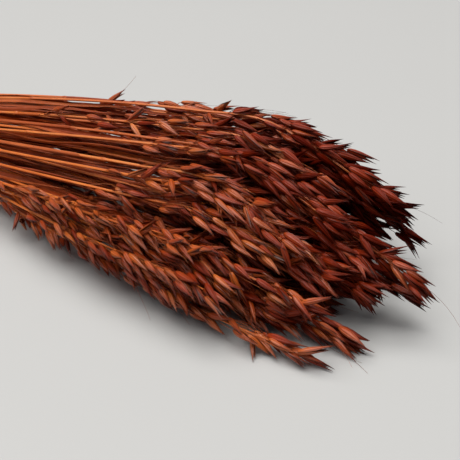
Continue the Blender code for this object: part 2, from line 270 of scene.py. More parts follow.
class Line:
    # a smooth line through the solid stalk's points, read by its place along X
    def __init__(self, points):
        self.x, self.sides = points[:, 0], points[:, 1:]
        self.slope = np.gradient(self.sides, self.x, axis=0)

    def at(self, x):
        x = np.atleast_1d(np.asarray(x, float))
        cell = np.clip(np.searchsorted(self.x, x) - 1, 0, len(self.x) - 2)
        width = (self.x[cell + 1] - self.x[cell])[:, None]
        t = (x - self.x[cell])[:, None] / width
        inside = np.clip(t, 0, 1)
        start, end = self.sides[cell], self.sides[cell + 1]
        leaving, arriving = self.slope[cell] * width, self.slope[cell + 1] * width
        place = (
            start * (2 * inside**3 - 3 * inside**2 + 1)
            + end * (3 * inside**2 - 2 * inside**3)
            + leaving * (inside**3 - 2 * inside**2 + inside)
            + arriving * (inside**3 - inside**2)
            + (t - inside) * arriving
        )
        return np.column_stack([x, place])

    def heading(self, x):
        step = 0.002
        return unit(self.at(np.asarray(x) + step) - self.at(np.asarray(x) - step))


def keepAbove(points, height):
    points[..., 2] = np.maximum(points[..., 2], height)


class Shape:
    # points, faces of four and of three corners, and for each point (across, along, tone)
    def __init__(self, points, quads, triangles, grain):
        self.points, self.quads, self.triangles, self.grain = points, quads, triangles, grain

    def placed(self, matrix, tone):
        points = self.points @ matrix[:3, :3].T + matrix[:3, 3]
        grain = self.grain.copy()
        grain[:, 2] = tone
        return Shape(points, self.quads, self.triangles, grain)


def joined(shapes):
    points, quads, triangles, grain, count = [], [], [], [], 0
    for shape in shapes:
        points.append(shape.points)
        quads.append(shape.quads + count)
        triangles.append(shape.triangles + count)
        grain.append(shape.grain)
        count += len(shape.points)
    return Shape(*(np.concatenate(part) for part in (points, quads, triangles, grain)))


def closedTube(rings, across, along, tone=0.5):
    # rings in order, each anticlockwise round the way they run; both ends are closed
    count, sides = rings.shape[:2]
    index = np.arange(count * sides).reshape(count, sides)
    after = np.roll(index, -1, axis=1)
    quads = np.stack([index[:-1], after[:-1], after[1:], index[1:]], axis=-1).reshape(-1, 4)
    first = [(index[0, 0], index[0, n + 1], index[0, n]) for n in range(1, sides - 1)]
    last = [(index[-1, 0], index[-1, n], index[-1, n + 1]) for n in range(1, sides - 1)]
    grain = np.empty((count, sides, 3))
    grain[..., 0] = np.broadcast_to(across, (count, sides))
    grain[..., 1] = np.broadcast_to(np.asarray(along).reshape(-1, 1), (count, sides))
    grain[..., 2] = np.broadcast_to(np.asarray(tone).reshape(-1, 1), (count, sides))
    return Shape(rings.reshape(-1, 3), quads, np.array(first + last), grain.reshape(-1, 3))


def around(sides):
    return np.linspace(0, 2 * math.pi, sides, endpoint=False)


def ringsAlong(path, radii, sides, upward=(0, 0, 1)):
    heading = unit(np.gradient(path, axis=0))
    across = unit(np.cross(upward, heading))
    lift = np.cross(heading, across)
    turn = around(sides)
    out = across[:, None] * np.cos(turn)[None, :, None] + lift[:, None] * np.sin(turn)[None, :, None]
    return path[:, None] + out * np.broadcast_to(radii, len(path))[:, None, None]


def bezier(places, count):
    t = np.linspace(0, 1, count)[:, None]
    first, second, third, last = (np.asarray(place, float) for place in places)
    return (
        first * (1 - t) ** 3
        + second * 3 * t * (1 - t) ** 2
        + third * 3 * t**2 * (1 - t)
        + last * t**3
    )


# Places across a ribbon: its face from edge to edge, then two points of its back.
ribbonPlaces = np.array([1, 0.5, 0, -0.5, -1, -0.5, 0.5])
ribbonFace = 5

# How high the finest parts stay above the floor.
floorRoom = {"husk": 0.0002, "leaf": 0.0004, "branch": 0.0005}

# One spikelet: two papery glumes, boat-shaped and open at the tip, round a floret.
spikelet = {
    "lengths": (0.0190, 0.0250),
    "growth": (0.86, 1.05),  # shorter early in the head
    "growthX": (0.30, 0.54),
    "halfWidth": 0.00250,
    "leastHalfWidth": 0.00007,
    "depth": 0.00205,
    "backRoundness": 0.8,
    "widestAt": 0.33,
    "tipRoundness": 1.7,
    "tipTaper": 0.45,
    "wrap": math.radians(80),  # how far round a glume reaches
    "wall": 0.00022,
    "opening": (0.0003, 0.0030),
    "openingPower": 2.2,
    "bend": 0.0026,
    "secondBend": 0.8,
    "floretBend": 0.6,
    "secondGlume": (0.84, 1.0),
    "floretLength": (0.70, 0.92),
    "floretHalfWidth": 0.00155,
    "rings": (0.0, 0.03, 0.11, 0.24, 0.42, 0.62, 0.81, 1.0),
    "floretRings": (0.0, 0.16, 0.42, 0.74, 1.0),
    "floretSides": 5,
    "floretEnds": 0.05,
    "variants": 12,
    # painted shade on the husks deep inside the bundle
    "shadeInside": 0.3,
    "darkest": -0.40,
    "brightest": 0.98,
    "tones": (0.54, 0.24),  # mean and spread
    "stalkTones": (-0.10, 0.10),
    # painted shade on the far side of the heads, growing towards their tips
    "shadeOnFarSide": 0.62,
    "farShadeFrom": -0.58,
    "farShadeFromX": (0.36, 0.52),
    "roll": math.radians(48),
    "awnShare": 0.10,
    "awnLength": (0.010, 0.022),
    "awnRadius": 0.00011,
    "awnTaper": (1.2, 0.6),
    "awnFrom": 0.7,
    "awnBend": 0.002,
    "awnSweep": 0.35,
    "awnRings": 6,
    "awnTone": 0.6,
}


def fullness(share):
    # 0 at both ends of a glume, 1 where it is widest: blunt at the base, drawn out to the tip
    share = np.clip(share, 0, 1)
    fromBase = np.clip(share / spikelet["widestAt"], 0, 1)
    toTip = np.clip((share - spikelet["widestAt"]) / (1 - spikelet["widestAt"]), 0, 1)
    blunt = np.sqrt(1 - (1 - fromBase) ** 2)
    drawnOut = (1 - toTip ** spikelet["tipRoundness"]) * (1 - spikelet["tipTaper"] * toTip)
    return np.where(share < spikelet["widestAt"], blunt, drawnOut)


def glume(length, opening, bend, side):
    # a boat-shaped ribbon; side is 1 or -1
    share = np.array(spikelet["rings"])
    full = fullness(share)
    halfWidth = np.maximum(spikelet["halfWidth"] * full, spikelet["leastHalfWidth"])
    back = spikelet["depth"] * full ** spikelet["backRoundness"]
    back = back + opening * share ** spikelet["openingPower"]
    wrap = spikelet["wrap"]
    rings = np.empty((len(share), len(ribbonPlaces), 3))
    for column, place in enumerate(ribbonPlaces):
        turn = place * wrap
        wall = np.minimum(spikelet["wall"], halfWidth * 0.5) if column >= ribbonFace else 0
        rings[:, column, 0] = halfWidth * math.sin(turn) / math.sin(wrap)
        rings[:, column, 1] = back - halfWidth * (1 - math.cos(turn)) - wall
        rings[:, column, 2] = share * length
    rings[..., :2] *= side
    rings[..., :2] += (bend * (share[:, None] ** 2))[:, None, :]
    return closedTube(rings, ribbonPlaces, share)


def floret(length, bend):
    share = np.array(spikelet["floretRings"])
    sides = spikelet["floretSides"]
    radius = spikelet["floretHalfWidth"] * np.maximum(fullness(share), spikelet["floretEnds"])
    path = np.column_stack([bend[0] * share**2, bend[1] * share**2, share * length])
    rings = ringsAlong(path, radius, sides, upward=(0, 1, 0))
    return closedTube(rings, np.cos(around(sides)), share)


def spikeletVariants(dice):
    # each of the mean length along Z; one is stretched to its own length when it is placed
    made = []
    for number in range(spikelet["variants"]):
        length = sum(spikelet["lengths"]) / 2
        bend = np.array([dice.uniform(-1, 1), dice.uniform(-1, 1)]) * spikelet["bend"]
        first = glume(length, dice.uniform(*spikelet["opening"]), bend, 1)
        shorter = length * dice.uniform(*spikelet["secondGlume"])
        second = glume(shorter, dice.uniform(*spikelet["opening"]), bend * spikelet["secondBend"], -1)
        inside = length * dice.uniform(*spikelet["floretLength"])
        middle = floret(inside, bend * spikelet["floretBend"])
        made.append(joined([first, second, middle]))
    return made


# One stalk's culm with its joints and leaf sheaths.
culm = {
    "sides": 8,
    "ringStep": 0.011,
    "hollow": 0.55,
    "hollowDepth": 0.004,
    # the deep ring of the cut end's hollow, then its rim: the deep one is painted shade
    "hollowTones": (0.2, 0.8),
    "firstJoint": (0.060, 0.150),
    "jointStep": (0.130, 0.190),
    "jointSwell": 0.42,
    "jointLength": 0.0016,
    "jointDark": 0.3,
    "clearOfNeck": 0.02,
    "clearOfTie": 0.012,
    "sheathShare": 0.45,
    "sheathLength": (0.060, 0.125),
    "sheathRings": 9,
    "sheathWall": 0.00032,
    "sheathFoot": 0.7,
    "lipInside": 0.9,
    "sheathTones": (0.2, 0.75),
    "mouthSlant": 0.0035,
    "grainLength": 0.025,
    "tones": (0.6, 1.1),
    # painted shade: the innermost stems keep this share of their tone
    "innerShadeTone": 0.55,
}


def culmJoints(stalk, dice):
    joints, x = [], stalk.start + dice.uniform(*culm["firstJoint"])
    while x < stalk.neck - culm["clearOfNeck"]:
        if abs(x - bundle["tieX"]) > culm["clearOfTie"]:
            joints.append(x)
        x += dice.uniform(*culm["jointStep"])
    return joints


def culmShape(stalk, line, joints, tone):
    # the whole stem and the panicle's axis, hollow at the cut end
    nearJoints = [x + step * culm["jointLength"] for x in joints for step in (-2, -1, 0, 1, 2)]
    along = np.arange(stalk.start, stalk.end, culm["ringStep"])
    along = np.array(sorted([*along, *nearJoints, stalk.end]))
    swell = np.zeros(len(along))
    for x in joints:
        swell += np.exp(-(((along - x) / culm["jointLength"]) ** 2))
    radii = np.array([stalk.radius(x) for x in along]) * (1 + culm["jointSwell"] * swell)
    rings = ringsAlong(line.at(along), radii, culm["sides"])
    middle = rings[0].mean(axis=0)
    rim = middle + (rings[0] - middle) * culm["hollow"]
    deep = rim + line.heading(stalk.start) * culm["hollowDepth"]
    rings = np.concatenate([deep[None], rim[None], rings])
    length = np.concatenate([[along[0], along[0]], along]) / culm["grainLength"]
    # painted shade deep in the hollow; the joints are darker straw
    tones = np.concatenate([culm["hollowTones"], tone - culm["jointDark"] * swell])
    return closedTube(rings, np.cos(around(culm["sides"])), length, tones)


def sheathShape(stalk, line, start, end, turn, tone):
    # a thin sleeve from a joint to a slanting mouth
    along = np.linspace(start, end, culm["sheathRings"])
    wall = culm["sheathWall"]
    radii = np.array([stalk.radius(x) for x in along]) + wall
    radii[0] -= wall * culm["sheathFoot"]
    rings = ringsAlong(line.at(along), radii, culm["sides"])
    angles = around(culm["sides"])
    slant = culm["mouthSlant"] * np.cos(angles - turn)[:, None] * line.heading(end)
    rings[-1] += slant
    lipRadius = stalk.radius(end) * culm["lipInside"]
    lip = ringsAlong(line.at(along[-2:]), lipRadius, culm["sides"])[-1] + slant
    rings = np.concatenate([rings, lip[None]])
    length = np.concatenate([along, [end]]) / culm["grainLength"]
    return closedTube(rings, np.cos(angles), length, tone)


# What is left of a leaf at a sheath's mouth. Its section gives the places across and their rise.
leafScrap = {
    "share": 0.3,
    "clearOfTie": 0.03,
    "length": (0.010, 0.036),
    "halfWidth": (0.0013, 0.0026),
    "leastHalfWidth": 0.0001,
    "thickness": 0.00016,
    "outline": (0.12, 0.85),
    "outlineRoundness": 0.7,
    "section": ((1, 0.25), (0.5, 0.02), (0, 0), (-0.5, 0.02), (-1, 0.25), (-0.5, 0.02), (0.5, 0.02)),
    "firstBend": 0.2,
    "curl": (-1.5, 1.5),
    "twist": (-2.4, 2.4),
    "sway": 0.5,
    "swayRun": (1, 3),
    "rings": 12,
}


def leafScrapShape(root, heading, outward, dice, tone):
    # a narrow ribbon that curls and twists
    length = dice.uniform(*leafScrap["length"])
    halfWidth = dice.uniform(*leafScrap["halfWidth"])
    curl = dice.uniform(*leafScrap["curl"])
    twist = dice.uniform(*leafScrap["twist"])
    count = leafScrap["rings"]
    share = np.linspace(0, 1, count)
    side = unit(np.cross(heading, outward))
    bend = leafScrap["firstBend"] + curl * share
    steps = np.cos(bend)[:, None] * heading + np.sin(bend)[:, None] * outward
    steps += side * (leafScrap["sway"] * np.sin(share * dice.uniform(*leafScrap["swayRun"])))[:, None]
    path = root + np.cumsum(unit(steps), axis=0) * length / count
    first, run = leafScrap["outline"]
    width = halfWidth * np.sin(math.pi * (first + run * share)) ** leafScrap["outlineRoundness"]
    width = width + leafScrap["leastHalfWidth"]
    facing = unit(np.gradient(path, axis=0))
    flat = unit(np.cross(facing, np.cross(side, facing)))
    normal = np.cross(facing, flat)
    angle = (twist * share)[:, None]
    across = flat * np.cos(angle) + normal * np.sin(angle)
    up = np.cross(facing, across)
    thick = leafScrap["thickness"]
    rings = np.empty((count, len(leafScrap["section"]), 3))
    for column, (place, rise) in enumerate(leafScrap["section"]):
        lower = thick if 0 < column < ribbonFace - 1 else 0
        height = rise * width + thick - lower * 2
        rings[:, column] = path + across * (place * width)[:, None] + up * height[:, None]
    keepAbove(rings, floorRoom["leaf"])
    grainAlong = share * length / culm["grainLength"]
    return closedTube(rings[:, ::-1], ribbonPlaces[::-1], grainAlong, tone)


# The long dry leaves that lie along the stems.
blade = {
    "perStalk": 4,
    "start": (0.170, 0.340),
    "length": (0.100, 0.200),
    "halfWidth": (0.0010, 0.0021),
    "leastHalfWidth": 0.0001,
    "baseWidth": 0.3,
    "widenSoon": 4,
    "tipRoundness": (2.5, 0.8),
    "fromAxis": 0.0013,
    "aside": (0.0015, 0.0070),
    "asideSoon": 2.5,
    "wave": 0.0015,
    "waveRun": (5, 11),
    "waveStart": (0, 6),
    "waveSoon": 2,
    "wind": (-1.5, 1.5),
    "spin": (-1.8, 1.8),
    "inward": 1.6,
    "fold": (0.10, 0.75),
    "thickness": 0.00018,
    "rings": 18,
    "tones": (-0.15, 0.60),
}


def bladeShape(line, start, inward, dice):
    # a folded ribbon that starts on the stem, runs beside it and thins out to a point
    length = dice.uniform(*blade["length"])
    share = np.linspace(0, 1, blade["rings"])
    along = start + length * share
    heading = line.heading(along)
    side = unit(np.cross(heading, (0, 0, 1)))
    lift = np.cross(side, heading)
    turn = dice.uniform(0, 2 * math.pi) + dice.uniform(*blade["wind"]) * share
    out = side * np.cos(turn)[:, None] + lift * np.sin(turn)[:, None]
    out = unit(out + inward * blade["inward"])
    across = unit(np.cross(heading, out))
    out = np.cross(across, heading)
    away = dice.uniform(*blade["aside"]) * smooth(share * blade["asideSoon"]) + blade["fromAxis"]
    wave = np.sin(share * dice.uniform(*blade["waveRun"]) + dice.uniform(*blade["waveStart"]))
    away += blade["wave"] * wave * smooth(share * blade["waveSoon"])
    path = line.at(along) + out * away[:, None]
    halfWidth = dice.uniform(*blade["halfWidth"])
    thinning, ending = blade["tipRoundness"]
    width = halfWidth * smooth(blade["baseWidth"] + share * blade["widenSoon"])
    width = width * (1 - share**thinning) ** ending + blade["leastHalfWidth"]
    spin = dice.uniform(0, 2 * math.pi) + dice.uniform(*blade["spin"]) * share
    across = across * np.cos(spin)[:, None] + out * np.sin(spin)[:, None]
    up = np.cross(heading, across)
    fold = dice.uniform(*blade["fold"])
    rings = np.empty((len(share), len(ribbonPlaces), 3))
    for column, place in enumerate(ribbonPlaces):
        lower = blade["thickness"] if column >= ribbonFace else 0
        rise = abs(place) * fold * width - lower
        rings[:, column] = path + across * (place * width)[:, None] + up * rise[:, None]
    keepAbove(rings, floorRoom["leaf"])
    grainAlong = share * length / culm["grainLength"]
    return closedTube(rings[:, ::-1], ribbonPlaces[::-1], grainAlong, dice.uniform(*blade["tones"]))


# How a stalk's spikelets hang in whorls of thin branches, all combed forward.
panicle = {
    "whorlShares": (0.0, 0.17, 0.33, 0.48, 0.62, 0.75, 0.87),
    "whorlSizes": (3, 5, 7, 8, 8, 8, 6),
    "ahead": (0.004, 0.042),
    "aheadScatter": (0.85, 1.15),
    "pastEnd": 0.002,
    "lastNode": 0.004,
    "out": (0.0008, 0.0058),
    "lean": math.radians(20),
    "mostLean": math.radians(46),
    "splay": 0.42,
    "reach": 0.0100,  # how far a tip stands off its stalk
    "looseFarSide": 0.25,
    "outsideCost": 2,
    "clearEnough": 0.0003,
    "wildShare": 0.11,  # spikelets that stick out of the combed ones
    "wildReach": 1.5,
    "wildLean": (math.radians(34), math.radians(62)),
    "droop": 0.14,
    "droopAtSides": 0.45,
    "tries": 12,
    "branchRadius": (0.00034, 0.00022),
    "branchRings": 5,
    "branchOutward": 0.35,
    "branchEase": (0.4, 0.25),
    "branchInto": 0.001,
    "beads": 6,
    "beadShares": (0.1, 0.92),
    "beadStep": 0.004,
    "crowdReach": 0.017,
    "tipHeight": 0.0012,
    "rootHeight": 0.00192,
    "sideLimit": 0.103,  # tips and awns stay near the solids
}


class Crowd:
    # balls that stand for what is already placed
    def __init__(self, room=60000):
        self.places, self.radii, self.count = np.zeros((room, 3)), np.zeros(room), 0

    def add(self, places, radii):
        self.places[self.count : self.count + len(places)] = places
        self.radii[self.count : self.count + len(places)] = radii
        self.count += len(places)

    def overlap(self, places, radii):
        offset = np.abs(self.places[: self.count] - places.mean(axis=0))
        near = (offset < panicle["crowdReach"]).all(axis=1)
        if not near.any():
            return 0
        distance = np.linalg.norm(places[:, None] - self.places[: self.count][near][None], axis=2)
        return np.maximum(radii[:, None] + self.radii[: self.count][near][None] - distance, 0).sum()


def spikeletBeads(root, tip):
    share = np.linspace(*panicle["beadShares"], panicle["beads"])[:, None]
    return root + (tip - root) * share, spikelet["halfWidth"] * fullness(share[:, 0])


def placeSpikelet(line, node, ahead, aside, dice, crowd):
    # the clearest of several tries; aside is -1 and 1 at the bundle's two sides
    best = None
    splay = panicle["splay"] * aside * abs(aside)
    droop = panicle["droop"] + panicle["droopAtSides"] * aside**2
    wild = dice.random() < panicle["wildShare"]
    mostReach = panicle["reach"] * (panicle["wildReach"] if wild else 1)
    mostReach *= 1 + panicle["looseFarSide"] * max(aside, 0)
    growth = np.interp(node, spikelet["growthX"], spikelet["growth"])
    for number in range(panicle["tries"]):
        x = node + ahead * dice.uniform(*panicle["aheadScatter"])
        middle, along = line.at(x)[0], line.heading(x)[0]
        side = unit(np.cross(along, (0, 0, 1)))
        lift = np.cross(side, along)
        turn = dice.uniform(0, 2 * math.pi)
        outward = side * math.cos(turn) + lift * math.sin(turn)
        root = middle + outward * dice.uniform(*panicle["out"])
        lean = min(abs(dice.gauss(0, panicle["lean"])), panicle["mostLean"])
        if wild:
            lean = dice.uniform(*panicle["wildLean"])
        leanTurn = dice.uniform(0, 2 * math.pi)
        leaning = side * math.cos(leanTurn) + lift * math.sin(leanTurn)
        aim = along * math.cos(lean) + leaning * math.sin(lean) + np.array([0, splay, 0])
        aim = unit(aim - np.array([0, 0, droop * dice.uniform(0, 1)]))
        length = dice.uniform(*spikelet["lengths"]) * growth
        root[2] = max(root[2], panicle["rootHeight"])
        tip = root + aim * length
        if tip[2] < panicle["tipHeight"]:
            tip[2] = panicle["tipHeight"]
            tip = root + unit(tip - root) * length
        tip[1] = min(max(tip[1], -panicle["sideLimit"]), panicle["sideLimit"])
        beads = spikeletBeads(root, tip)
        reach = tip - middle
        reach = np.linalg.norm(reach - along * (reach @ along))
        outside = max(reach - mostReach, 0)
        cost = crowd.overlap(*beads) + outside * panicle["outsideCost"]
        found = (cost, number, root, tip, outward, beads)
        if best is None or found[0] < best[0]:
            best = found
        if best[0] < panicle["clearEnough"]:
            break
    crowd.add(*best[5])
    return best[2], best[3], best[4]


def spikeletMatrix(root, tip, roll):
    # the back of a glume faces up, but for the roll
    aimed = Vector(tip - root).to_track_quat("Z", "Y").to_matrix().to_4x4()
    stretch = np.linalg.norm(tip - root) / (sum(spikelet["lengths"]) / 2)
    place = Matrix.Translation(root) @ aimed @ Matrix.Rotation(roll, 4, "Z") @ Matrix.Scale(stretch, 4)
    return np.array(place)


def branchShape(line, node, root, tip, outward, tone):
    start = line.at(node)[0]
    heading = line.heading(node)[0]
    aim = unit(tip - root)
    reach = np.linalg.norm(root - start)
    leaving, arriving = panicle["branchEase"]
    places = [
        start,
        start + (heading + outward * panicle["branchOutward"]) * reach * leaving,
        root - aim * reach * arriving,
        root + aim * panicle["branchInto"],
    ]
    path = bezier(places, panicle["branchRings"])
    keepAbove(path, floorRoom["branch"])
    radii = np.linspace(*panicle["branchRadius"], len(path))
    rings = ringsAlong(path, radii, 3)
    return closedTube(rings, (1, 0, -1), np.linspace(0, reach, len(path)) / culm["grainLength"], tone)


def awnShape(root, tip, dice, tone):
    # a hair-fine awn out of the fork at the tip
    aim = unit(tip - root)
    aside = unit(np.cross(aim, (dice.uniform(-1, 1), dice.uniform(-1, 1), dice.uniform(-1, 1))))
    length = dice.uniform(*spikelet["awnLength"])
    first = root + (tip - root) * spikelet["awnFrom"]
    third = tip + aim * length * 0.5 + aside * spikelet["awnBend"]
    last = tip + aim * length + aside * length * spikelet["awnSweep"]
    path = bezier([first, tip, third, last], spikelet["awnRings"])
    path[:, 1] = np.clip(path[:, 1], -panicle["sideLimit"], panicle["sideLimit"])
    keepAbove(path, floorRoom["branch"])
    radii = spikelet["awnRadius"] * np.linspace(*spikelet["awnTaper"], len(path))
    return closedTube(ringsAlong(path, radii, 3), (1, 0, -1), np.linspace(0, 1, len(path)), tone)


def makeMesh(name, parts, shift):
    # parts is a list of (shape, material)
    whole = joined([shape for shape, finish in parts])
    mesh = bpy.data.meshes.new(name)
    faces = whole.quads.tolist() + whole.triangles.tolist()
    mesh.from_pydata((whole.points + shift).tolist(), [], faces)
    finishes = list(dict.fromkeys(finish for shape, finish in parts))
    for finish in finishes:
        mesh.materials.append(finish)
    numbers = {finish: n for n, finish in enumerate(finishes)}
    onQuads = [np.full(len(shape.quads), numbers[finish]) for shape, finish in parts]
    onTriangles = [np.full(len(shape.triangles), numbers[finish]) for shape, finish in parts]
    mesh.polygons.foreach_set("material_index", np.concatenate(onQuads + onTriangles).astype(np.int32))
    grain = mesh.attributes.new("grain", "FLOAT_VECTOR", "POINT")
    grain.data.foreach_set("vector", whole.grain.astype(np.float32).ravel())
    mesh.shade_smooth()
    mesh.set_sharp_from_angle(angle=math.radians(70))
    mesh.update()
    return mesh


class MaterialNodes:
    # a new node material, with short ways to add nodes and to feed their sockets
    def __init__(self, name):
        self.material = bpy.data.materials.new(name)
        self.material.use_nodes = True
        self.nodes, self.links = self.material.node_tree.nodes, self.material.node_tree.links
        self.shader = self.nodes["Principled BSDF"]

    def add(self, kind, **values):
        node = self.nodes.new(kind)
        for key, value in values.items():
            setattr(node, key, value)
        return node

    def feed(self, socket, value):
        if isinstance(value, bpy.types.NodeSocket):
            self.links.new(value, socket)
        else:
            socket.default_value = value

    def maths(self, operation, first, second=0.5):
        node = self.add("ShaderNodeMath", operation=operation)
        self.feed(node.inputs[0], first)
        self.feed(node.inputs[1], second)
        return node.outputs[0]

    def grain(self):
        return self.add("ShaderNodeAttribute", attribute_name="grain").outputs["Vector"]

    def objectPlaces(self):
        return self.add("ShaderNodeTexCoord").outputs["Object"]

    def stretched(self, vector, factors):
        node = self.add("ShaderNodeVectorMath", operation="MULTIPLY")
        self.feed(node.inputs[0], vector)
        self.feed(node.inputs[1], factors)
        return node.outputs[0]

    def noise(self, places, scale=1.0, detail=2.0):
        node = self.add("ShaderNodeTexNoise")
        self.feed(node.inputs["Scale"], scale)
        self.feed(node.inputs["Detail"], detail)
        self.feed(node.inputs["Vector"], places)
        return node.outputs["Fac"]

    def mixed(self, share, first, second, blend="MIX"):
        # a colour mix keeps its share, its two colours and its result in sockets 0, 6, 7 and 2
        node = self.add("ShaderNodeMix", data_type="RGBA", blend_type=blend)
        for number, value in ((0, share), (6, first), (7, second)):
            self.feed(node.inputs[number], value)
        return node.outputs[2]

    def ramp(self, level, colours):
        node = self.add("ShaderNodeValToRGB")
        stops = node.color_ramp.elements
        while len(stops) < len(colours):
            stops.new(0.5)
        for stop, (place, colour) in zip(stops, colours):
            stop.position = place
            stop.color = (*colour, 1)
        self.feed(node.inputs[0], level)
        return node.outputs[0]

    def bump(self, height, distance, strength=1.0):
        node = self.add("ShaderNodeBump")
        self.feed(node.inputs["Distance"], distance)
        self.feed(node.inputs["Strength"], strength)
        self.feed(node.inputs["Height"], height)
        self.feed(self.shader.inputs["Normal"], node.outputs[0])


# Colours run from the darkest to the brightest straw.
huskFinish = {
    "ramp": (
        (0.0, (0.095, 0.005, 0.0005)),
        (0.35, (0.33, 0.030, 0.003)),
        (0.7, (0.62, 0.122, 0.013)),
        (1.0, (0.86, 0.26, 0.055)),
    ),
    # the colour of a painted mauve sheen
    "paintedSheen": (0.42, 0.085, 0.050),
    "paintedSheenAmount": 0.30,
    "baseBright": 0.16,
    "tipDark": 0.42,
    # painted shade along the edges of the glumes
    "edgeShade": 0.35,
    "nerves": 9.0,
    "nerveDark": 0.34,
    "nerveHeight": 0.00016,
    "streaks": (7.0, 1.3, 37.0),
    "roughness": (0.27, 0.42),
    "gloss": 0.46,
}
stemFinish = {
    "ramp": (
        (0.0, (0.080, 0.007, 0.0005)),
        (0.35, (0.32, 0.045, 0.004)),
        (0.7, (0.72, 0.160, 0.016)),
        (1.0, (0.95, 0.33, 0.060)),
    ),
    # the colour of a painted sheen
    "paintedSheen": (0.48, 0.14, 0.08),
    "paintedSheenAmount": 0.30,
    "baseBright": 0.0,
    "tipDark": 0.0,
    "edgeShade": 0.0,
    "nerves": 7.0,
    "nerveDark": 0.12,
    "nerveHeight": 0.00008,
    "streaks": (4.0, 0.35, 37.0),
    "roughness": (0.28, 0.44),
    "gloss": 0.60,
}

# What husks and stems share: the parts of the level on the ramp, and how the rest follows it.
straw = {
    "tone": 0.62,
    "streak": 0.55,
    "streakDetail": 3.0,
    "blotch": 0.35,
    "blotchScale": 55.0,
    "lowered": 0.27,  # brings the mean level to the middle of the ramp
    "paintedSheenPower": 2.2,
    "brightness": 1.8,
    "leastBright": 0.06,
    "mostBright": 1.2,
    "tipPower": 2.0,
    "mostDark": 0.8,
    "furrowPower": 3.0,
    "streakHeight": 1.6,
    "bump": 0.7,
}


def strawMaterial(name, finish):
    look = MaterialNodes(name)
    maths, shader = look.maths, look.shader
    grain = look.grain()
    parts = look.add("ShaderNodeSeparateXYZ")
    look.feed(parts.inputs[0], grain)
    across, along, tone = parts.outputs
    streak = look.noise(look.stretched(grain, finish["streaks"]), detail=straw["streakDetail"])
    blotch = look.noise(look.objectPlaces(), straw["blotchScale"])

    level = maths("MULTIPLY", tone, straw["tone"])
    level = maths("ADD", level, maths("MULTIPLY", streak, straw["streak"]))
    level = maths("ADD", level, maths("MULTIPLY", blotch, straw["blotch"]))
    level = maths("SUBTRACT", level, straw["lowered"] - finish["baseBright"] / 2)
    level = maths("SUBTRACT", level, maths("MULTIPLY", along, finish["baseBright"]))
    colour = look.ramp(level, finish["ramp"])
    brightness = maths("MAXIMUM", maths("MULTIPLY", level, straw["brightness"]), straw["leastBright"])
    brightness = maths("MINIMUM", brightness, straw["mostBright"])

    # a painted mauve sheen on some husks and stems, stronger on the brighter ones
    odd = look.add("ShaderNodeTexWhiteNoise", noise_dimensions="1D")
    look.feed(odd.inputs["W"], tone)
    paintedSheen = maths("POWER", odd.outputs["Value"], straw["paintedSheenPower"])
    paintedSheen = maths("MULTIPLY", maths("MULTIPLY", paintedSheen, finish["paintedSheenAmount"]), brightness)
    colour = look.mixed(paintedSheen, colour, (*finish["paintedSheen"], 1))

    # darker towards the tips and in the furrows between the nerves, and painted shade at the edges
    tipShare = maths("POWER", maths("ABSOLUTE", along), straw["tipPower"])
    tipShare = maths("MINIMUM", maths("MULTIPLY", tipShare, finish["tipDark"]), finish["tipDark"])
    # painted shade along the edges
    edgeShadeShare = maths("MULTIPLY", maths("MULTIPLY", across, across), finish["edgeShade"])
    dark = maths("MINIMUM", maths("ADD", tipShare, edgeShadeShare), straw["mostDark"])
    wave = maths("SINE", maths("MULTIPLY", across, finish["nerves"] * math.pi / 2))
    hollow = maths("POWER", maths("MULTIPLY", maths("ADD", wave, 1.0), 0.5), straw["furrowPower"])
    furrow = maths("MULTIPLY", hollow, finish["nerveDark"])
    shade = maths("SUBTRACT", 1.0, maths("ADD", dark, furrow))
    look.feed(shader.inputs["Base Color"], look.mixed(1.0, colour, shade, "MULTIPLY"))

    rough = look.add("ShaderNodeMapRange")
    rough.inputs["To Min"].default_value, rough.inputs["To Max"].default_value = finish["roughness"]
    look.feed(rough.inputs["Value"], streak)
    look.feed(shader.inputs["Roughness"], rough.outputs[0])
    # less gloss on the dark husks; the plain value is for an export that drops the link
    shader.inputs["Specular IOR Level"].default_value = finish["gloss"]
    look.feed(shader.inputs["Specular IOR Level"], maths("MULTIPLY", brightness, finish["gloss"]))
    relief = maths("ADD", wave, maths("MULTIPLY", streak, straw["streakHeight"]))
    look.bump(relief, finish["nerveHeight"], straw["bump"])
    return look.material


twineFinish = {
    "dark": (0.30, 0.20, 0.10),
    "light": (0.66, 0.52, 0.33),
    "roughness": 0.88,
    "sheen": 0.25,
    "fibres": (5.0, 9.0, 31.0),
    "fibreDetail": 4.0,
    "fibreHeight": 0.0003,
}


def twineMaterial():
    look = MaterialNodes("hempTwine")
    places = look.stretched(look.grain(), twineFinish["fibres"])
    fibres = look.noise(places, detail=twineFinish["fibreDetail"])
    colour = look.mixed(fibres, (*twineFinish["dark"], 1), (*twineFinish["light"], 1))
    look.feed(look.shader.inputs["Base Color"], colour)
    look.shader.inputs["Roughness"].default_value = twineFinish["roughness"]
    look.shader.inputs["Sheen Weight"].default_value = twineFinish["sheen"]
    look.bump(fibres, twineFinish["fibreHeight"])
    return look.material


def twistedTwine(path, upward, dice):
    # strands laid round the path
    steps = np.linalg.norm(np.diff(path, axis=0), axis=1)
    run = np.concatenate([[0], np.cumsum(steps)])
    heading = unit(np.gradient(path, axis=0))
    across = unit(np.cross(upward, heading))
    lift = np.cross(heading, across)
    sides = tie["strandSides"]
    strands = []
    for number in range(tie["strands"]):
        turn = 2 * math.pi * (run / tie["twistLength"] + number / tie["strands"])
        offset = across * np.cos(turn)[:, None] + lift * np.sin(turn)[:, None]
        rings = ringsAlong(path + offset * tie["strandOffset"], tie["strandRadius"], sides, upward)
        grainAlong = run / tie["strandGrain"]
        strands.append(closedTube(rings, np.cos(around(sides)), grainAlong, dice.uniform(0, 1)))
    return strands


